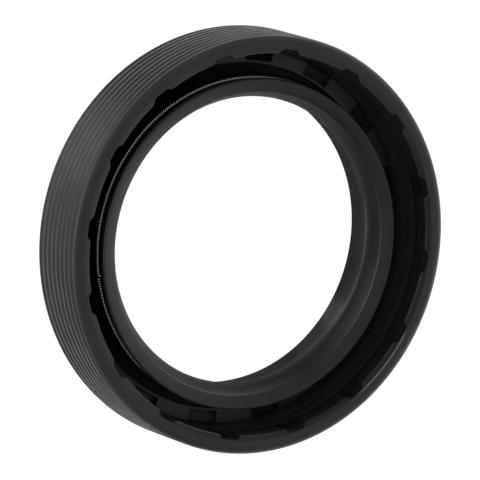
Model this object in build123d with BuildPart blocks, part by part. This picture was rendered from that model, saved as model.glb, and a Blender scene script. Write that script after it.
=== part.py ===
"""Radial shaft seal, 37 mm shaft x 52 mm housing x 10 mm wide, with a ribbed rubber outside.

Three real pieces: a pressed steel case ring, the rubber body moulded around it, and the
garter spring that snaps into the groove outside the sealing lip.

Frame, in millimetres: +Z is the shaft axis, pointing to the oil (spring) side. The origin is
the centre of the flat back (air side) face, on which the seal lies.
"""

import os
from math import cos, radians, sin, tan

from build123d import *

# What the seal fits
shaft_diameter = 37.0
housing_bore = 52.0
seal_width = 10.0
press_allowance = 0.30  # the free outside diameter is larger than the housing bore by this
lip_interference = 1.10  # the free sealing edge is smaller than the shaft by this, on diameter

# Steel case: a ring of L section, pressed from sheet
case_thickness = 1.0
case_bend = 0.4  # inside radius
case_hole_clearance = 1.66  # radial, from the bore at the back out to the edge of the case's hole
case_cover = 1.45  # rubber outside the case, up to the rib crests
case_back_cover = 0.7  # rubber under the flange
case_end_cover = 0.9  # rubber over the free end
case_end_taper = 0.7  # radial, inside the free end, where the mould lugs centre the case
case_end_taper_height = 1.4

# Ribbed outside of the rubber body
rib_pitch = 1.095
rib_groove_width = 0.55
rib_groove_floor = 0.21
rib_groove_depth = 0.18
lead_in_height = 1.15  # chamfer at the back, which enters the housing first
lead_in_depth = 0.95
front_edge_round = 0.45

# Front rim, wrapped over the free end of the case
rim_flat_width = 1.55  # from the rib crests in to the crease
rim_bevel_drop = 0.15
rim_inner_step = 0.14  # from the case wall out to the inside of the wrap

# Windows left by the support lugs of the mould, at the floor and at the rim
lug_count = 16
first_lug_angle = 10.6
window_angle = 9.8
window_corner_round = 0.25
notch_mouth = 3.3  # width at the inner edge of the rim
notch_end = 1.7  # width at the outer end, over the top of the case's taper

# Rubber floor of the oil side: a narrow ring, with pads between the windows
pad_thickness = 1.0
pad_ring_width = 0.45  # left whole at the inner ends of the windows
pad_edge_gap = 0.14  # bevel where the pads meet the case wall
pad_edge_round = 0.1
channel_floor_cover = 0.25  # rubber over the flange at the bottom of the flex channel
channel_round = 0.15

# Membrane, from the floor up to the head of the lip
back_bore_rise = 0.89  # radial, out from the sealing edge, as are the other rises
back_edge_round = 0.15
waist_rise = 0.75
waist_height = 2.9
waist_round = 0.5
membrane_root = 0.76  # thickness at the floor, outside the bore at the back
membrane_root_round = 0.3
membrane_neck_rise = 1.65
membrane_neck_drop = 0.55  # from the spring groove down to the thinnest place
membrane_neck_round = 0.4

# Head of the lip
sealing_edge_height = 5.48
sealing_land = 0.4
trim_cone_height = 0.55  # narrow cone beside the sealing edge, on the oil side
trim_cone_rise = 0.25
lip_ridge_height = 1.82  # above the sealing edge
lip_ridge_rise = 1.0
lip_ridge_round = 0.12
head_rim_overhang = 0.47  # radial, from the middle of the spring's coil
head_rim_side = 0.55  # height of the rim's outer side
head_rim_round = 0.38
head_flank_round = 0.1

# Garter spring: a close coil of round wire with its ends screwed together
spring_coil_diameter = 1.2
spring_seat_clearance = 0.02
spring_lead = 0.13  # middle of the coil above the sealing edge
rubber_under_spring = 1.81  # radial, from the sealing edge to the bottom of the groove
groove_flank_angle = 36.0  # from the axis
groove_lower_lip = 0.14

# Radii and heights worked out from the sizes above
outer_radius = (housing_bore + press_allowance) / 2
case_outer_radius = outer_radius - case_cover
case_middle_radius = case_outer_radius - case_thickness / 2
case_inner_radius = case_outer_radius - case_thickness
case_end_height = seal_width - case_end_cover
taper_bottom = case_end_height - case_end_taper_height
flange_top = case_back_cover + case_thickness
rim_inner_radius = case_inner_radius + rim_inner_step
notch_end_radius = case_inner_radius + case_end_taper
notch_start_radius = case_inner_radius - case_end_taper
pad_top = flange_top + pad_thickness
channel_floor = flange_top + channel_floor_cover
sealing_radius = (shaft_diameter - lip_interference) / 2
back_bore_radius = sealing_radius + back_bore_rise
case_hole_radius = back_bore_radius + case_hole_clearance
root_radius = back_bore_radius + membrane_root
floor_inner_radius = (root_radius + case_inner_radius) / 2  # pads and channel share the width
window_inner_radius = floor_inner_radius + pad_ring_width
seat_radius = spring_coil_diameter / 2 + spring_seat_clearance
spring_ring_radius = sealing_radius + rubber_under_spring + seat_radius
spring_height = sealing_edge_height + spring_lead
groove_bottom = spring_height - seat_radius
head_rim_radius = spring_ring_radius + head_rim_overhang
groove_count = int((seal_width - lead_in_height) / rib_pitch)

# Corners of the rubber body's section, as (radius, height)
back_edge = (back_bore_radius, 0)
front_edge = (outer_radius, seal_width)
rim_edge = (rim_inner_radius, seal_width - rim_bevel_drop)
pad_edge = (floor_inner_radius, pad_top)
channel_corner = (floor_inner_radius, channel_floor)
root_corner = (root_radius, channel_floor)
neck_corner = (sealing_radius + membrane_neck_rise, groove_bottom - membrane_neck_drop)
groove_lip = (spring_ring_radius, groove_bottom - groove_lower_lip)
flank_start = (
    spring_ring_radius - seat_radius * cos(radians(groove_flank_angle)),
    spring_height + seat_radius * sin(radians(groove_flank_angle)),
)
flank_height = (head_rim_radius - flank_start[0]) / tan(radians(groove_flank_angle))
flank_end = (head_rim_radius, flank_start[1] + flank_height)
head_rim = (head_rim_radius, flank_end[1] + head_rim_side)
lip_ridge = (sealing_radius + lip_ridge_rise, sealing_edge_height + lip_ridge_height)
trim_edge = (sealing_radius + trim_cone_rise, sealing_edge_height + trim_cone_height)
waist = (sealing_radius + waist_rise, waist_height)


# Steel case: upright wall and flange, one bend
with BuildPart() as steel_insert:
    with BuildSketch(Plane.XZ):
        with BuildLine():
            FilletPolyline(
                (case_hole_radius, case_back_cover),
                (case_outer_radius, case_back_cover),
                (case_outer_radius, case_end_height),
                radius=case_bend + case_thickness,
            )
            Polyline(
                (case_outer_radius, case_end_height),
                (case_inner_radius + case_end_taper, case_end_height),
                (case_inner_radius, taper_bottom),
            )
            FilletPolyline(
                (case_inner_radius, taper_bottom),
                (case_inner_radius, flange_top),
                (case_hole_radius, flange_top),
                radius=case_bend,
            )
            Line((case_hole_radius, flange_top), (case_hole_radius, case_back_cover))
        make_face()
    revolve(axis=Axis.Z)

# Garter spring: the ring that its close coil fills
with BuildPart() as garter_spring:
    with BuildSketch(Plane.XZ):
        with Locations((spring_ring_radius, spring_height)):
            Circle(spring_coil_diameter / 2)
    revolve(axis=Axis.Z)

# Mould lug at the floor: the space that it keeps free of rubber, down to the flange
with BuildPart() as floor_lug:
    with BuildSketch(Plane.XZ.rotated((0, 0, -window_angle / 2))):
        with Locations((window_inner_radius, flange_top)):
            Rectangle(
                case_middle_radius - window_inner_radius,
                2 * pad_thickness,
                align=(Align.MIN, Align.MIN),
            )
    revolve(axis=Axis.Z, revolution_arc=window_angle)
    inner_face = floor_lug.faces().filter_by(GeomType.CYLINDER).sort_by(SortBy.AREA)[0]
    fillet(inner_face.edges().filter_by(Axis.Z), radius=window_corner_round)

# Rubber body: one moulding around the case, from the ribbed outside to the sealing edge
with BuildPart() as rubber_body:
    with BuildSketch(Plane.XZ) as body_section:
        with BuildLine():
            Polyline(
                # back face, lead-in chamfer, outside and front rim
                back_edge,
                (outer_radius - lead_in_depth, 0),
                (outer_radius, lead_in_height),
                front_edge,
                (outer_radius - rim_flat_width, seal_width),
                rim_edge,
                # along the middle of the case, which is taken out below
                (rim_inner_radius, taper_bottom),
                (case_middle_radius, taper_bottom),
                (case_middle_radius, pad_top - case_thickness / 2),
                # floor, flex channel and outside of the membrane
                (case_inner_radius - pad_edge_gap, pad_top),
                pad_edge,
                channel_corner,
                root_corner,
                neck_corner,
                # head: groove, rim, front, oil side cones, sealing land and air side cone
                groove_lip,
                flank_start,
                flank_end,
                head_rim,
                lip_ridge,
                trim_edge,
                (sealing_radius, sealing_edge_height),
                (sealing_radius, sealing_edge_height - sealing_land),
                waist,
                close=True,
            )
        make_face()
        for corner, corner_radius in (
            (back_edge, back_edge_round),
            (front_edge, front_edge_round),
            (pad_edge, pad_edge_round),
            (channel_corner, channel_round),
            (root_corner, membrane_root_round),
            (neck_corner, membrane_neck_round),
            (flank_end, head_flank_round),
            (head_rim, head_rim_round),
            (lip_ridge, lip_ridge_round),
            (waist, waist_round),
        ):
            fillet(body_section.vertices().sort_by_distance(corner)[0], radius=corner_radius)
        with Locations((spring_ring_radius, spring_height)):
            Circle(seat_radius, mode=Mode.SUBTRACT)
    revolve(axis=Axis.Z)
    add(steel_insert.part, mode=Mode.SUBTRACT)

    # grooves between the ribs
    with BuildSketch(Plane.XZ):
        for groove in range(groove_count):
            with Locations((outer_radius, lead_in_height + (groove + 0.5) * rib_pitch)):
                Polygon(
                    (0, rib_groove_width / 2),
                    (-rib_groove_depth, rib_groove_floor / 2),
                    (-rib_groove_depth, -rib_groove_floor / 2),
                    (0, -rib_groove_width / 2),
                    align=None,
                )
    revolve(axis=Axis.Z, mode=Mode.SUBTRACT)

    # windows in the floor, and the notches above them through the rim's wrap
    with PolarLocations(0, lug_count, start_angle=first_lug_angle):
        add(floor_lug.part, mode=Mode.SUBTRACT)
    with BuildSketch(Plane.XY.offset(taper_bottom)):
        with PolarLocations(0, lug_count, start_angle=first_lug_angle):
            Polygon(
                (notch_start_radius, notch_mouth / 2),
                (rim_inner_radius, notch_mouth / 2),
                (notch_end_radius, notch_end / 2),
                (notch_end_radius, -notch_end / 2),
                (rim_inner_radius, -notch_mouth / 2),
                (notch_start_radius, -notch_mouth / 2),
                align=None,
            )
    extrude(amount=seal_width - taper_bottom, mode=Mode.SUBTRACT)

os.makedirs("parts", exist_ok=True)
steel_insert.part.label = "steel_insert"
export_step(steel_insert.part, "parts/steel_insert.step")
garter_spring.part.label = "garter_spring"
export_step(garter_spring.part, "parts/garter_spring.step")
rubber_body.part.label = "rubber_body"
export_step(rubber_body.part, "parts/rubber_body.step")
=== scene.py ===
import math

import bmesh
import bpy
from mathutils import Matrix, Vector


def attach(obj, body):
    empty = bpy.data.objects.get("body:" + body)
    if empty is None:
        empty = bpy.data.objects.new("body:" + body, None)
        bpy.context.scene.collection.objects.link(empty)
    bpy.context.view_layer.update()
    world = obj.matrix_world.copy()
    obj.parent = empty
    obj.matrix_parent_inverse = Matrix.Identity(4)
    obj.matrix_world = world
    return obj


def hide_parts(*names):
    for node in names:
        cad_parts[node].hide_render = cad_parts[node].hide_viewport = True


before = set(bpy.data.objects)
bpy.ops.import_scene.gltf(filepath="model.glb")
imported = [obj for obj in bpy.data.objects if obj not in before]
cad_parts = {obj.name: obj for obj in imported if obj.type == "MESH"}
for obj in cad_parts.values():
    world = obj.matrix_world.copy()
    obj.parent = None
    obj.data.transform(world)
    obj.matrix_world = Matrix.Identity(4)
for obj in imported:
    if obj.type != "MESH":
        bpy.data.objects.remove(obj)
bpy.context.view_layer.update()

scene = bpy.context.scene
scene.view_settings.view_transform = "Standard"

# ---------------------------------------------------------------------------------------
# Rubber body. One moulding of black nitrile rubber, bonded to the steel case that it wraps,
# with a ribbed outside, floor pads, a flexing membrane and the sealing lip. Lugs in the mould
# hold the case while it cures, and leave 16 windows in the floor and 16 notches in the rim.
# ---------------------------------------------------------------------------------------
MM = 0.001  # the sizes and places of the pieces are in millimetres

OUTSIDE_R = 26.15
WIDTH = 10.0
LEAD_IN_HEIGHT = 1.15
RIB_PITCH = 1.095
RIB_GROOVES = 8
RIB_GROOVE_DEPTH = 0.18
RIB_GROOVE_MOUTH_HALF = 0.275
RIB_GROOVE_FLOOR_HALF = 0.105
CASE_OUTER_R = 24.7
CASE_INNER_R = 23.7
CASE_HOLE_R = 20.5
CASE_BACK_Z = 0.7
FLANGE_TOP_Z = 1.7
CASE_END_Z = 9.1
CASE_BEND_OUTSIDE = 1.4
CASE_BEND_INSIDE = 0.4
TAPER_R = 24.4  # the case's free end tapers inside, from here at its top
TAPER_Z = 7.7  # down to the inner wall at this height
CREASE_R = 24.6
RIM_INNER_R = 23.84
RIM_INNER_Z = 9.85
PAD_TOP_Z = 2.7
PAD_EDGE_GAP = 0.14
PAD_INNER_R = 21.65
CHANNEL_Z = 1.95
WINDOW_R = 22.1
BACK_BORE_R = 18.84
MEMBRANE_R = 19.6
SEALING_R = 17.95
SEALING_Z = 5.48
SEALING_LAND = 0.4
SPRING_R = 20.38
SPRING_Z = 5.61
SEAT_INNER_R = 19.76
SEAT_BOTTOM_Z = 4.99
HEAD_RIM_R = 20.72
LIP_RIDGE_Z = 7.3
BOND = 0.004  # the rubber's mesh stops this short of the steel
TAPER_GAP = 0.01  # and this short of the case's tapered end

# Corners of the section, as (radius, height, length of the rounding along each side, steps).
# Some without a rounding only part a straight side, most of them where the lugs bend it later.
section = [
    (BACK_BORE_R, 0.0, 0.15, 4),
    (MEMBRANE_R, 0.0, 0, 0),
    (22.4, 0.0, 0, 0),
    (25.2, 0.0, 0.06, 2),
    (OUTSIDE_R, LEAD_IN_HEIGHT, 0.08, 2),
]
for groove in range(RIB_GROOVES):
    middle = LEAD_IN_HEIGHT + (groove + 0.5) * RIB_PITCH
    section += [
        (OUTSIDE_R, middle - RIB_GROOVE_MOUTH_HALF, 0.045, 2),
        (OUTSIDE_R - RIB_GROOVE_DEPTH, middle - RIB_GROOVE_FLOOR_HALF, 0, 0),
        (OUTSIDE_R - RIB_GROOVE_DEPTH, middle + RIB_GROOVE_FLOOR_HALF, 0, 0),
        (OUTSIDE_R, middle + RIB_GROOVE_MOUTH_HALF, 0.045, 2),
    ]
section += [
    # front edge and rim
    (26.13, 9.72, 0.13, 3),
    (25.9, 9.88, 0.1, 3),
    (25.65, 9.95, 0.1, 2),
    (25.32, 9.988, 0.1, 2),
    (CREASE_R, WIDTH, 0.06, 3),
    (24.42, 9.9645, 0, 0),
    (24.2, 9.921, 0, 0),
    (24.0, 9.8816, 0, 0),
    (RIM_INNER_R, RIM_INNER_Z, 0.11, 4),
    (RIM_INNER_R, 9.4, 0, 0),
    (RIM_INNER_R, 8.7, 0, 0),
    (RIM_INNER_R, 8.0, 0, 0),
    # round the case
    (TAPER_R + TAPER_GAP, CASE_END_Z + BOND, 0, 0),
    (CASE_OUTER_R + BOND, CASE_END_Z + BOND, 0, 0),
    (CASE_OUTER_R + BOND, CASE_BACK_Z - BOND, CASE_BEND_OUTSIDE, 6),
    (CASE_HOLE_R - BOND, CASE_BACK_Z - BOND, 0, 0),
    (CASE_HOLE_R - BOND, FLANGE_TOP_Z + BOND, 0, 0),
    (WINDOW_R, FLANGE_TOP_Z + BOND, 0, 0),
    (CASE_INNER_R - BOND, FLANGE_TOP_Z + BOND, CASE_BEND_INSIDE, 4),
    # pads and flex channel
    (CASE_INNER_R - BOND, PAD_TOP_Z - PAD_EDGE_GAP, 0, 0),
    (CASE_INNER_R - PAD_EDGE_GAP, PAD_TOP_Z, 0.05, 2),
    (23.1, PAD_TOP_Z, 0, 0),
    (22.6, PAD_TOP_Z, 0, 0),
    (22.16, PAD_TOP_Z, 0, 0),
    (22.04, PAD_TOP_Z, 0, 0),
    (PAD_INNER_R, PAD_TOP_Z, 0.1, 3),
    (PAD_INNER_R, CHANNEL_Z, 0.15, 3),
    # membrane, and the head: its groove with a flank 36 degrees from the axis, rim and cones
    (MEMBRANE_R, CHANNEL_Z, 0.3, 4),
    (MEMBRANE_R, 4.44, 0.2, 4),
    (SPRING_R, 4.85, 0.05, 2),
    (SPRING_R, SEAT_BOTTOM_Z, 0, 0),
    (SEAT_INNER_R, SEAT_BOTTOM_Z, 0.6199, 7),
    (SEAT_INNER_R, 5.8115, 0.2014, 3),
    (HEAD_RIM_R, 7.1327, 0.06, 2),
    (HEAD_RIM_R, 7.825, 0.37, 7),
    (18.95, LIP_RIDGE_Z, 0.1, 4),
    (18.2, 6.03, 0.03, 2),
    (SEALING_R, SEALING_Z, 0.02, 1),
    (SEALING_R, SEALING_Z - SEALING_LAND, 0.03, 1),
    (18.7, 2.9, 0.35, 5),
]


def section_wire(corners):
    """A new bmesh with a section's closed outline, its corners rounded."""
    shape = bmesh.new()
    points = [shape.verts.new((r * MM, 0, z * MM)) for r, z, _, _ in corners]
    for here, after in zip(points, points[1:] + points[:1]):
        shape.edges.new((here, after))
    for point, (_, _, rounding, steps) in zip(points, corners):
        if rounding:
            bmesh.ops.bevel(
                shape, geom=[point], offset=rounding * MM, offset_type="OFFSET",
                affect="VERTICES", segments=steps, profile=0.5, material=-1,
            )
    return shape


bm = section_wire(section)
bmesh.ops.remove_doubles(bm, verts=bm.verts[:], dist=0.001 * MM)

# A sixteenth of the ring, from halfway between two lugs to halfway to the next. The section
# is turned in steps that are fine where the window's sides and the notch's ends come.
stations = [
    -11.25, -9.6, -7.9, -6.3, -5.15, -4.98, -4.9, -4.895, -4.82, -4.6, -4.3, -3.9, -3.4,
    -2.9, -2.4, -2.0, -1.1,
]
stations = [math.radians(a) for a in stations + [-a for a in reversed(stations)]]
bmesh.ops.rotate(
    bm, verts=bm.verts[:], cent=(0, 0, 0), matrix=Matrix.Rotation(stations[0], 3, "Z"),
)
ring = bm.edges[:]
for here, after in zip(stations, stations[1:]):
    turned = bmesh.ops.spin(
        bm, geom=ring, cent=(0, 0, 0), axis=(0, 0, 1), angle=after - here, steps=1,
        use_duplicate=False,
    )
    ring = [e for e in turned["geom_last"] if isinstance(e, bmesh.types.BMEdge)]

# The lug shapes that sixteenth: it leaves a notch in the rim and a window in the floor
LUG_COUNT = 16
FIRST_LUG = math.radians(10.6)
NOTCH_DEPTH = 0.56
NOTCH_MOUTH_HALF = 1.65
NOTCH_END_HALF = 0.85
BEVEL_DROP = WIDTH - RIM_INNER_Z  # of the rim, which the notch's edge follows up
WINDOW_HALF = math.radians(4.9)
WINDOW_CORNER = 0.25
WINDOW_EDGE = 0.06  # rounding of the rubber along the window
WINDOW_EDGE_MIDDLE = (0.015, 0.02)  # in from the wall and down from the pad
BEVEL_FROM_Z = 9.6  # the wrap's points above this are on the rim's bevel and its round
WINDOW_FROM_R = 21.9  # the section's points outside this are drawn back for the window
EDGE_TO_R = 22.3  # and those inside this become the window's rounded edge
TOUCH = 0.001  # a place counts as on a face when it is this near
CREASE_ROUND = 0.05
NEAR = 0.1  # allowance round a corner
for v in bm.verts:
    r, z = math.hypot(v.co.x, v.co.y) / MM, v.co.z / MM
    turn = math.atan2(v.co.y, v.co.x)
    along = r * abs(turn)
    in_wrap = z > TAPER_Z and CASE_INNER_R < r < CREASE_R - CREASE_ROUND
    over_case = z < CASE_END_Z + NEAR and r > RIM_INNER_R + NEAR
    # notch in the rim: the wrap's inner edge goes out, and the case's taper lies bare below
    if in_wrap and not over_case:
        share = min(1, max(0, (NOTCH_MOUTH_HALF - along) / (NOTCH_MOUTH_HALF - NOTCH_END_HALF)))
        out = NOTCH_DEPTH * share * share * (3 - 2 * share)
        if z > BEVEL_FROM_Z:
            out *= (CREASE_R - r) / (CREASE_R - RIM_INNER_R)
            z += out * BEVEL_DROP / (CREASE_R - RIM_INNER_R)
        r += out
        taper = TAPER_Z + (r - CASE_INNER_R) / (TAPER_R - CASE_INNER_R) * (CASE_END_Z - TAPER_Z)
        z = max(z, taper + TAPER_GAP)
    # window in the floor: its rubber is drawn back to a wall beside the pad's inner ring
    elif FLANGE_TOP_Z < z <= PAD_TOP_Z + TOUCH and WINDOW_FROM_R < r < CASE_INNER_R:
        inside = (WINDOW_HALF - abs(turn)) * WINDOW_R
        if inside > TOUCH:
            corner = max(0, WINDOW_CORNER - inside)
            wall = WINDOW_R + WINDOW_CORNER - math.sqrt(WINDOW_CORNER**2 - corner**2)
            if z <= PAD_TOP_Z - TOUCH:
                r, z = wall, min(z, PAD_TOP_Z - WINDOW_EDGE)
            elif r < WINDOW_R:
                r, z = wall - WINDOW_EDGE, PAD_TOP_Z
            elif r < EDGE_TO_R:
                r, z = wall - WINDOW_EDGE_MIDDLE[0], PAD_TOP_Z - WINDOW_EDGE_MIDDLE[1]
            else:
                r, z = wall, PAD_TOP_Z - WINDOW_EDGE
        elif inside > -WINDOW_EDGE and z > PAD_TOP_Z - NEAR and r > WINDOW_R:
            z -= WINDOW_EDGE * (1 + inside / WINDOW_EDGE) ** 2
    v.co = (r * MM * math.cos(turn), r * MM * math.sin(turn), z * MM)
bmesh.ops.remove_doubles(bm, verts=bm.verts[:], dist=0.0002 * MM)
bmesh.ops.rotate(
    bm, verts=bm.verts[:], cent=(0, 0, 0), matrix=Matrix.Rotation(FIRST_LUG, 3, "Z"),
)
bmesh.ops.spin(
    bm, geom=bm.verts[:] + bm.edges[:] + bm.faces[:], cent=(0, 0, 0), axis=(0, 0, 1),
    angle=math.tau * (LUG_COUNT - 1) / LUG_COUNT, steps=LUG_COUNT - 1, use_duplicate=True,
)
bmesh.ops.remove_doubles(bm, verts=bm.verts[:], dist=0.0005 * MM)

LIP_SAG = Vector((0, -0.3))  # the free lip stands this far off the axis, as soft lips do
LIP_REACH_R = 21.4  # nothing outside this follows the lip


def off_centre(z):
    """How far the lip stands off the axis at a height, growing from the pads to its ridge."""
    share = min(1, max(0, (z - PAD_TOP_Z) / (LIP_RIDGE_Z - PAD_TOP_Z)))
    return LIP_SAG * share**3


for v in bm.verts:
    if v.co.xy.length < LIP_REACH_R * MM:
        v.co.xy += off_centre(v.co.z / MM) * MM
bmesh.ops.recalc_face_normals(bm, faces=bm.faces[:])


def finish_piece(name, shape, sharp_angle):
    """Turns a bmesh into a smooth-shaded object that is sharp at edges over the angle."""
    mesh = bpy.data.meshes.new(name)
    for face in shape.faces:
        face.smooth = True
    for edge in shape.edges:
        edge.smooth = edge.calc_face_angle(0) < math.radians(sharp_angle)
    shape.to_mesh(mesh)
    shape.free()
    piece = bpy.data.objects.new(name, mesh)
    scene.collection.objects.link(piece)
    return piece


rubber = finish_piece("rubber_body_moulding", bm, sharp_angle=33)


def surface(name, colour, roughness, metallic=0.0):
    """A material, its node tree and shader, and the socket of its Object coordinates."""
    material = bpy.data.materials.new(name)
    material.use_nodes = True
    tree = material.node_tree
    shader = tree.nodes["Principled BSDF"]
    shader.inputs["Base Color"].default_value = (*colour, 1)
    shader.inputs["Roughness"].default_value = roughness
    shader.inputs["Metallic"].default_value = metallic
    place = tree.nodes.new("ShaderNodeTexCoord").outputs["Object"]
    return material, tree, shader, place


def noise(tree, place, scale, detail=2.0):
    """A noise pattern's factor."""
    pattern = tree.nodes.new("ShaderNodeTexNoise")
    pattern.inputs["Scale"].default_value = scale
    pattern.inputs["Detail"].default_value = detail
    tree.links.new(place, pattern.inputs["Vector"])
    return pattern.outputs["Fac"]


def spread(tree, factor, low, high):
    """Maps the middle of a noise factor to a range of values."""
    ranged = tree.nodes.new("ShaderNodeMapRange")
    ranged.inputs["From Min"].default_value = 0.3
    ranged.inputs["From Max"].default_value = 0.7
    ranged.inputs["To Min"].default_value = low
    ranged.inputs["To Max"].default_value = high
    tree.links.new(factor, ranged.inputs["Value"])
    return ranged.outputs["Result"]


def worked(tree, operation, first, second):
    """The result of a Math node on two sockets or numbers."""
    node = tree.nodes.new("ShaderNodeMath")
    node.operation = operation
    for socket, value in zip(node.inputs, (first, second)):
        if isinstance(value, bpy.types.NodeSocket):
            tree.links.new(value, socket)
        else:
            socket.default_value = value
    return node.outputs["Value"]


def where_all(tree, *masks):
    """One mask that holds only where all the given masks hold."""
    joined = masks[0]
    for mask in masks[1:]:
        joined = worked(tree, "MULTIPLY", joined, mask)
    return joined


def across(tree, place, centre=(0, 0, 0), scale=(1, 1, 0)):
    """The distance from a centre given in mm, by default from the seal's axis."""
    offset = tree.nodes.new("ShaderNodeVectorMath")
    offset.operation = "SUBTRACT"
    tree.links.new(place, offset.inputs[0])
    offset.inputs[1].default_value = [along * MM for along in centre]
    flat = tree.nodes.new("ShaderNodeVectorMath")
    flat.operation = "MULTIPLY"
    tree.links.new(offset.outputs["Vector"], flat.inputs[0])
    flat.inputs[1].default_value = scale
    reach = tree.nodes.new("ShaderNodeVectorMath")
    reach.operation = "LENGTH"
    tree.links.new(flat.outputs["Vector"], reach.inputs[0])
    return reach.outputs["Value"]


def parts_of(tree, vector):
    """The X, Y and Z of a vector, as three sockets."""
    split = tree.nodes.new("ShaderNodeSeparateXYZ")
    tree.links.new(vector, split.inputs["Vector"])
    return split.outputs["X"], split.outputs["Y"], split.outputs["Z"]


def ramp(tree, value, start, end, low=0.0, high=1.0):
    """Goes smoothly from low to high while the value goes from start to end."""
    ranged = tree.nodes.new("ShaderNodeMapRange")
    ranged.interpolation_type = "SMOOTHSTEP"
    ranged.inputs["From Min"].default_value = start
    ranged.inputs["From Max"].default_value = end
    ranged.inputs["To Min"].default_value = low
    ranged.inputs["To Max"].default_value = high
    tree.links.new(value, ranged.inputs["Value"])
    return ranged.outputs["Result"]


def past(tree, reach, start, end, low=0.0, high=1.0):
    """A ramp along a place or a distance, with its start and end in mm."""
    return ramp(tree, reach, start * MM, end * MM, low, high)


def shade(tree, mask, under, over):
    """Lays a colour over another colour, or over a tone that is already mixed."""
    mix = tree.nodes.new("ShaderNodeMix")
    mix.data_type = "RGBA"
    if isinstance(under, bpy.types.NodeSocket):
        tree.links.new(under, mix.inputs["A"])
    else:
        mix.inputs["A"].default_value = (*under, 1)
    mix.inputs["B"].default_value = (*over, 1)
    tree.links.new(mask, mix.inputs["Factor"])
    return mix.outputs["Result"]


def bump(tree, height, shader, strength, depth, under=None):
    """Adds a bump of that depth in mm, over another bump if one is given."""
    node = tree.nodes.new("ShaderNodeBump")
    node.inputs["Strength"].default_value = strength
    node.inputs["Distance"].default_value = depth * MM
    tree.links.new(height, node.inputs["Height"])
    if under:
        tree.links.new(under, node.inputs["Normal"])
    tree.links.new(node.outputs["Normal"], shader.inputs["Normal"])
    return node.outputs["Normal"]


material, tree, shader, place = surface("black_nitrile_rubber", (0.0135, 0.0132, 0.0129), 0.42)
shader.inputs["Specular Tint"].default_value = (1, 0.9, 0.92, 1)
cloudy = spread(tree, noise(tree, place, 160, 3), 0, 1)
tone = shade(tree, cloudy, (0.0125, 0.0117, 0.0116), (0.0155, 0.0145, 0.0144))
radius = across(tree, place)
x, y, height = parts_of(tree, place)

# painted light: the pads and the outside of the membrane, down in the cavity, are painted paler
cavity_painted_light = where_all(
    tree,
    past(tree, radius, 19.3, 19.5),
    past(tree, radius, CASE_INNER_R, CASE_INNER_R - 0.1),
    past(tree, height, PAD_TOP_Z - 0.5, PAD_TOP_Z),
    past(tree, height, 5.2, 5.0),
)
# painted light: the outside of the membrane is painted paler still
membrane_painted_light = where_all(tree, cavity_painted_light, past(tree, radius, 21.5, 21.2))

# painted highlight: the front edge is painted a little paler, most of all its outermost corner
FRONT_EDGE = (9.3, 9.6)
HIGHLIGHT_FREE_PLACE = (10, -24, 0)
edge_highlight = where_all(
    tree,
    past(tree, radius, 25.4, 25.6),
    past(tree, height, *FRONT_EDGE),
    past(tree, across(tree, place, HIGHLIGHT_FREE_PLACE), 12, 24),
)
# painted highlight on the outermost corner of the front edge, strongest towards +Y
corner = where_all(
    tree,
    past(tree, radius, 25.96, 26.04),
    past(tree, height, *FRONT_EDGE),
    past(tree, y, 10, 25, 0.3, 1),
)

# painted highlight: the mould's parting line on the rim's crease is painted pale for a short way
crease_highlight = where_all(
    tree,
    past(tree, radius, CREASE_R - 0.13, CREASE_R - 0.04),
    past(tree, radius, CREASE_R + 0.13, CREASE_R + 0.04),
    past(tree, y, -14.5, -12.2),
    past(tree, y, -4.2, -5.6),
    past(tree, x, 0, 1),
    past(tree, height, 9.8, 9.9),
)

# painted shade: the inside of the rim is painted darker on one side, most of all the rim's bevel
SHADE_PLACE = (20, -12, 0)
SHADE_FADE = (36, 24)
side_painted_shade = where_all(
    tree,
    past(tree, radius, CASE_INNER_R, CASE_INNER_R + 0.08),
    past(tree, radius, CREASE_R - 0.04, CREASE_R - 0.13),
    past(tree, height, 7.4, 7.8),
    past(tree, across(tree, place, SHADE_PLACE), *SHADE_FADE),
)
bevel_painted_shade = where_all(tree, side_painted_shade, past(tree, height, 9.75, 9.85))

# painted highlight: the outside is painted paler for a short way round, and is rougher there
OD_HIGHLIGHT_PLACE = (-25.5, 5.6, 5)
od_highlight_patch = where_all(
    tree,
    past(tree, across(tree, place, OD_HIGHLIGHT_PLACE, (1, 1, 0.4)), 8.5, 2),
    past(tree, radius, 25.6, 25.8),
)
for mask, colour in (
    (od_highlight_patch, (0.052, 0.05, 0.051)),
    (side_painted_shade, (0.009, 0.0085, 0.0085)),
    (bevel_painted_shade, (0.002, 0.002, 0.002)),
    (cavity_painted_light, (0.028, 0.0275, 0.026)),
    (membrane_painted_light, (0.06, 0.057, 0.055)),
    (edge_highlight, (0.026, 0.0245, 0.0245)),
    (corner, (0.13, 0.122, 0.122)),
    (crease_highlight, (0.16, 0.15, 0.145)),
):
    tone = shade(tree, mask, tone, colour)
tree.links.new(tone, shader.inputs["Base Color"])

# oil stands at the bottom of the flex channel, and darkens it
wet = where_all(
    tree,
    past(tree, radius, 19.3, 19.5),
    past(tree, radius, 21.66, 21.6),
    past(tree, height, 2.4, 2.2),
)
tree.links.new(ramp(tree, wet, 0, 1, 0.54, 0.12), shader.inputs["Specular IOR Level"])

# the lip and the bore are smoother than the rest, and the painted highlight patch is rougher
LIP_SMOOTHER = 0.1
HIGHLIGHT_PATCH_ROUGHER = 0.12
sheen = worked(
    tree, "SUBTRACT", spread(tree, noise(tree, place, 420, 3), 0.36, 0.48),
    past(tree, radius, 19.4, 18.9, 0, LIP_SMOOTHER),
)
sheen = worked(tree, "ADD", sheen, worked(tree, "MULTIPLY", od_highlight_patch, HIGHLIGHT_PATCH_ROUGHER))
tree.links.new(sheen, shader.inputs["Roughness"])
grain = bump(tree, noise(tree, place, 5200, 3), shader, 0.5, 0.01)
bump(tree, noise(tree, place, 700, 2), shader, 0.4, 0.04, grain)
rubber.data.materials.append(material)
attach(rubber, "root")
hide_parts("rubber_body")

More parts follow.
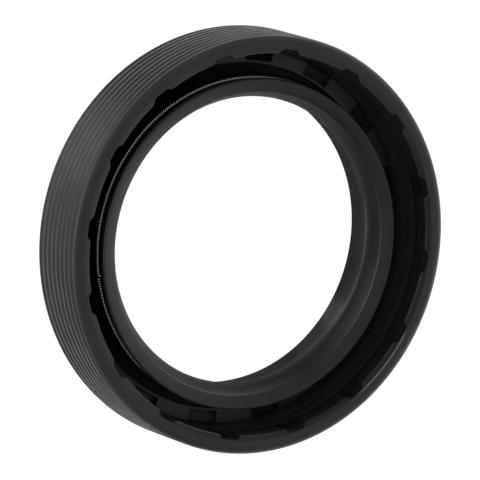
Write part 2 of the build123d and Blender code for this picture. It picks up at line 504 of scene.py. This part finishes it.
# ---------------------------------------------------------------------------------------
# Steel case. A ring of L section, pressed from sheet steel and coated with black bonding
# lacquer. The rubber is moulded round it; its inner wall, a strip of its end and the
# flange in the windows stay bare of rubber.
# ---------------------------------------------------------------------------------------
CASE_STEPS = 480  # round the ring
LACQUER = (0.015, 0.0148, 0.0138)
case_section = [
    (CASE_HOLE_R, CASE_BACK_Z, 0.03, 1),
    (CASE_OUTER_R, CASE_BACK_Z, CASE_BEND_OUTSIDE, 6),
    (CASE_OUTER_R, CASE_END_Z, 0.04, 1),
    (TAPER_R, CASE_END_Z, 0.05, 2),
    (24.33, 8.96, 0, 0),
    (23.79, 7.88, 0, 0),
    (CASE_INNER_R, TAPER_Z, 0.1, 2),
    (CASE_INNER_R, 5.0, 0, 0),
    (CASE_INNER_R, FLANGE_TOP_Z, CASE_BEND_INSIDE, 5),
    (22.4, FLANGE_TOP_Z, 0, 0),
    (CASE_HOLE_R, FLANGE_TOP_Z, 0.03, 1),
]
bm = section_wire(case_section)
bmesh.ops.spin(
    bm, geom=bm.edges[:], cent=(0, 0, 0), axis=(0, 0, 1), angle=math.tau, steps=CASE_STEPS,
    use_merge=True,
)
bmesh.ops.recalc_face_normals(bm, faces=bm.faces[:])
case = finish_piece("steel_case", bm, sharp_angle=20)
material, tree, shader, place = surface("black_bonding_lacquer", LACQUER, 0.3)
tree.links.new(spread(tree, noise(tree, place, 260, 3), 0.22, 0.36), shader.inputs["Roughness"])
x, y, height = parts_of(tree, place)

# the flange in the windows of one side is paler; painted light: a band low on the wall is paler
# too
pale_windows_and_painted_light = worked(
    tree, "MAXIMUM",
    where_all(tree, past(tree, y, -20, -21.3), past(tree, height, 1.8, 1.75)),
    where_all(tree, past(tree, height, 2, 2.6), past(tree, height, 6, 4.5)),
)

# painted shade on the tapered end of one side; the flange in the windows of the other is darker
side_painted_shade = where_all(
    tree,
    past(tree, height, TAPER_Z - 0.5, TAPER_Z + 0.1),
    past(tree, across(tree, place, SHADE_PLACE), *SHADE_FADE),
)
deep = where_all(
    tree,
    past(tree, height, 1.9, 1.8),
    past(tree, y, -16, -10),
    past(tree, x, 3.5, 1),
)
tree.links.new(ramp(tree, deep, 0, 1, 0.15, 0.04), shader.inputs["Specular IOR Level"])
tone = shade(tree, pale_windows_and_painted_light, LACQUER, (0.034, 0.0335, 0.032))
tone = shade(tree, worked(tree, "MAXIMUM", side_painted_shade, deep), tone, (0.004, 0.004, 0.0038))
tree.links.new(tone, shader.inputs["Base Color"])
bump(tree, noise(tree, place, 500, 2), shader, 0.3, 0.03)
case.data.materials.append(material)
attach(case, "root")
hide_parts("steel_insert")

# ---------------------------------------------------------------------------------------
# Garter spring. Spring wire of 0.3 mm, close-wound into a long straight coil of 1.2 mm
# outside diameter, then bent into a ring and its ends screwed together. It sits in the
# groove outside the sealing lip and presses the lip on the shaft.
# ---------------------------------------------------------------------------------------
TURNS = 427
WIRE_R = 0.142  # a little under half of 0.3, so that the windings stay apart
COIL_R = 0.6 - WIRE_R
STEPS_PER_TURN = 9
WIRE_SIDES = 6
JOINT_TURN = math.radians(208)
JOINT_GAP = 0.16
length = math.tau * SPRING_R
pitch = (length - JOINT_GAP) * MM / TURNS
bm = bmesh.new()
wire = bmesh.ops.create_circle(bm, segments=WIRE_SIDES, radius=WIRE_R * MM)["verts"]
bmesh.ops.rotate(bm, verts=wire, cent=(0, 0, 0), matrix=Matrix.Rotation(math.radians(90), 3, "X"))
bmesh.ops.translate(bm, verts=wire, vec=(0, 0, COIL_R * MM))
bmesh.ops.spin(
    bm, geom=bm.edges[:], cent=(0, 0, 0), axis=(1, 0, 0), dvec=(pitch / STEPS_PER_TURN, 0, 0),
    angle=math.tau, steps=STEPS_PER_TURN, use_duplicate=False,
)
bmesh.ops.spin(
    bm, geom=bm.verts[:] + bm.edges[:] + bm.faces[:], cent=(0, 0, 0), axis=(1, 0, 0),
    dvec=(pitch, 0, 0), angle=0, steps=TURNS - 1, use_duplicate=True,
)
bmesh.ops.remove_doubles(bm, verts=bm.verts[:], dist=0.001 * MM)
bmesh.ops.holes_fill(bm, edges=[e for e in bm.edges if e.is_boundary], sides=WIRE_SIDES)

# u of the UV map goes from 0 on the outside of a winding to 1 where it meets the next
winding = bm.loops.layers.uv.new("winding")
for v in bm.verts:
    turned = math.atan2(-v.co.y, v.co.z) / math.tau
    aside = (v.co.x / pitch - turned + 0.5) % 1 - 0.5
    for loop in v.link_loops:
        loop[winding].uv = (min(1, abs(aside) * pitch / (WIRE_R * MM)), 0)

# the straight coil is bent into its ring, which follows the lip
for v in bm.verts:
    turn = v.co.x / MM / SPRING_R + JOINT_TURN
    r = SPRING_R * MM + v.co.y
    v.co = (r * math.cos(turn), r * math.sin(turn), v.co.z + SPRING_Z * MM)
    v.co.xy += off_centre(v.co.z / MM) * MM
bmesh.ops.recalc_face_normals(bm, faces=bm.faces[:])
if bm.calc_volume(signed=True) < 0:
    bmesh.ops.reverse_faces(bm, faces=bm.faces[:])
spring = finish_piece("garter_coil", bm, sharp_angle=80)
material, tree, shader, place = surface("spring_wire_steel", (0.3, 0.3, 0.31), 0.2, 1.0)
tree.links.new(spread(tree, noise(tree, place, 2600, 2), 0.14, 0.24), shader.inputs["Roughness"])

# painted shade: the wire is painted dark towards the gaps between the windings
BRIGHT_WIRE = (0.42, 0.42, 0.43)
SHADED_WIRE = (0.025, 0.025, 0.025)
u, _, _ = parts_of(tree, tree.nodes.new("ShaderNodeTexCoord").outputs["UV"])
tone = shade(tree, ramp(tree, u, 0.2, 0.75), BRIGHT_WIRE, SHADED_WIRE)
tree.links.new(tone, shader.inputs["Base Color"])
spring.data.materials.append(material)
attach(spring, "root")
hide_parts("garter_spring")

# ---------------------------------------------------------------------------------------
# Studio: a pale floor under the seal, soft panels of light around it and a camera.
# ---------------------------------------------------------------------------------------
FLOOR_HALF = 3  # in metres
FLOOR_DROP = 0.03  # keeps the floor out of the plane of the back face
bm = bmesh.new()
bmesh.ops.create_grid(bm, x_segments=1, y_segments=1, size=FLOOR_HALF)
bmesh.ops.translate(bm, verts=bm.verts[:], vec=(0, 0, -FLOOR_DROP * MM))
floor = finish_piece("studio_floor", bm, sharp_angle=30)
material, tree, shader, place = surface("pale_floor", (0.8, 0.8, 0.8), 0.6)

# The floor glows to the camera, in reflections and through glass, and the rest of it is plain.
# To the camera the glow alone is past white, so the seal's shadow on the floor doesn't show.
GLOW_SHARE = 0.85
rays = tree.nodes.new("ShaderNodeLightPath").outputs
seen = worked(tree, "MAXIMUM", rays["Is Camera Ray"], rays["Is Glossy Ray"])
seen = worked(tree, "MAXIMUM", seen, rays["Is Transmission Ray"])
share = worked(tree, "MULTIPLY", seen, GLOW_SHARE)

# In reflections the glow is dimmed inside the ring, less so in four soft spots, each as
# (place, how far it reaches, share of the dimming that is left at its middle)
SPOT_CORE = 1
from_axis = across(tree, place)
dimmed = past(tree, from_axis, 14.5, 17.5, 0.75)
for spot, reach, left in (
    ((13.5, 3.5, 0), 4, 0.2),
    ((14.2, -1.5, 0), 4, 0.25),
    ((15.8, -8.6, 0), 3, 0.92),
    ((16.8, -4.7, 0), 2.8, 0.72),
):
    dimmed = worked(
        tree, "MULTIPLY", dimmed, past(tree, across(tree, place, spot), SPOT_CORE, reach, left),
    )
dimmed = worked(tree, "MULTIPLY", dimmed, worked(tree, "LESS_THAN", from_axis, 22 * MM))

# It is dimmed close around the seal too, but for one patch, which is brighter
PATCH_PLACE = (-29.5, 5.5, 0)
PATCH_EDGE = (3, 7.5)
patch = across(tree, place, PATCH_PLACE)
beside = where_all(
    tree,
    past(tree, from_axis, 28.5, 32.5, 0, 0.55),
    past(tree, from_axis, 45, 60, 1, 0),
    past(tree, patch, *PATCH_EDGE),
)
beside = worked(tree, "SUBTRACT", beside, past(tree, patch, *PATCH_EDGE, 0.2, 0))
dimmed = worked(tree, "ADD", dimmed, beside)
dimmed = worked(tree, "MULTIPLY", dimmed, rays["Is Glossy Ray"])

GLOW = 1.1
CAMERA_GLOW = 0.1  # added for the camera, and makes the floor white even in the shadow
bright = worked(tree, "ADD", GLOW, worked(tree, "MULTIPLY", rays["Is Camera Ray"], CAMERA_GLOW))
glow = tree.nodes.new("ShaderNodeEmission")
tree.links.new(worked(tree, "SUBTRACT", bright, dimmed), glow.inputs["Strength"])
mixed = tree.nodes.new("ShaderNodeMixShader")
tree.links.new(share, mixed.inputs["Fac"])
tree.links.new(shader.outputs["BSDF"], mixed.inputs[1])
tree.links.new(glow.outputs["Emission"], mixed.inputs[2])
tree.links.new(mixed.outputs["Shader"], tree.nodes["Material Output"].inputs["Surface"])
floor.data.materials.append(material)

# Soft panels around the seal, as (direction round Z, height, both in degrees, strength). All
# strengths but the last were solved by a separate fitting program and rounded, so they aren't
# a maker's choice; the last was set by hand.
PANEL_FALLOFF = 16  # the higher, the smaller the panel
AIR_LIGHT = 0.02
panels = [
    (60, 2, 5.14),
    (180, 38, 3.32),
    (0, 2, 2.50),
    (300, 2, 2.46),
    (330, 2, 2.02),
    (30, 2, 1.45),
    (90, 2, 1.04),
    (240, 17, 0.80),
    (216, 38, 0.66),
    (0, 63, 0.63),
    (144, 38, 0.58),
    (150, 17, 0.51),
    (36, 38, 0.29),
    (60, 17, 0.06),
    (252, 38, 0.05),
    (205, 70, 0.35),
]
world = bpy.data.worlds.new("studio_air")
world.use_nodes = True
scene.world = world
tree = world.node_tree
toward = tree.nodes.new("ShaderNodeTexCoord").outputs["Generated"]
light = AIR_LIGHT
for around, above, strength in panels:
    around, above = math.radians(around), math.radians(above)
    facing = tree.nodes.new("ShaderNodeVectorMath")
    facing.operation = "DOT_PRODUCT"
    tree.links.new(toward, facing.inputs[0])
    facing.inputs[1].default_value = (
        math.cos(above) * math.cos(around), math.cos(above) * math.sin(around), math.sin(above),
    )
    lit = worked(tree, "MAXIMUM", facing.outputs["Value"], 0)
    soft = worked(tree, "POWER", lit, PANEL_FALLOFF)
    light = worked(tree, "ADD", worked(tree, "MULTIPLY", soft, strength), light)
air = tree.nodes["Background"]
air.inputs["Color"].default_value = (1, 1, 1, 1)
tree.links.new(light, air.inputs["Strength"])

# The camera looks down on the front face from one side, far off with a long lens
CAMERA_AWAY = 869.07
CAMERA_LEFT = 2.527
CAMERA_UP = 0.666
camera_data = bpy.data.cameras.new("studio_camera")
camera_data.lens = 529.9
camera_data.sensor_width = 36
camera_data.clip_start = 0.01
camera_data.clip_end = 20
camera = bpy.data.objects.new("studio_camera", camera_data)
scene.collection.objects.link(camera)
forward = Vector((0.5203, 0, -0.8540)).normalized()
right = Vector((0.8122, 0.3091, 0.4948)).normalized()
up = right.cross(forward)
right = forward.cross(up)
middle = Vector((0, 0, WIDTH * MM))
stand = middle + (CAMERA_UP * up - CAMERA_LEFT * right - CAMERA_AWAY * forward) * MM
camera.matrix_world = (
    Matrix.Translation(stand) @ Matrix((right, up, -forward)).transposed().to_4x4()
)
scene.camera = camera
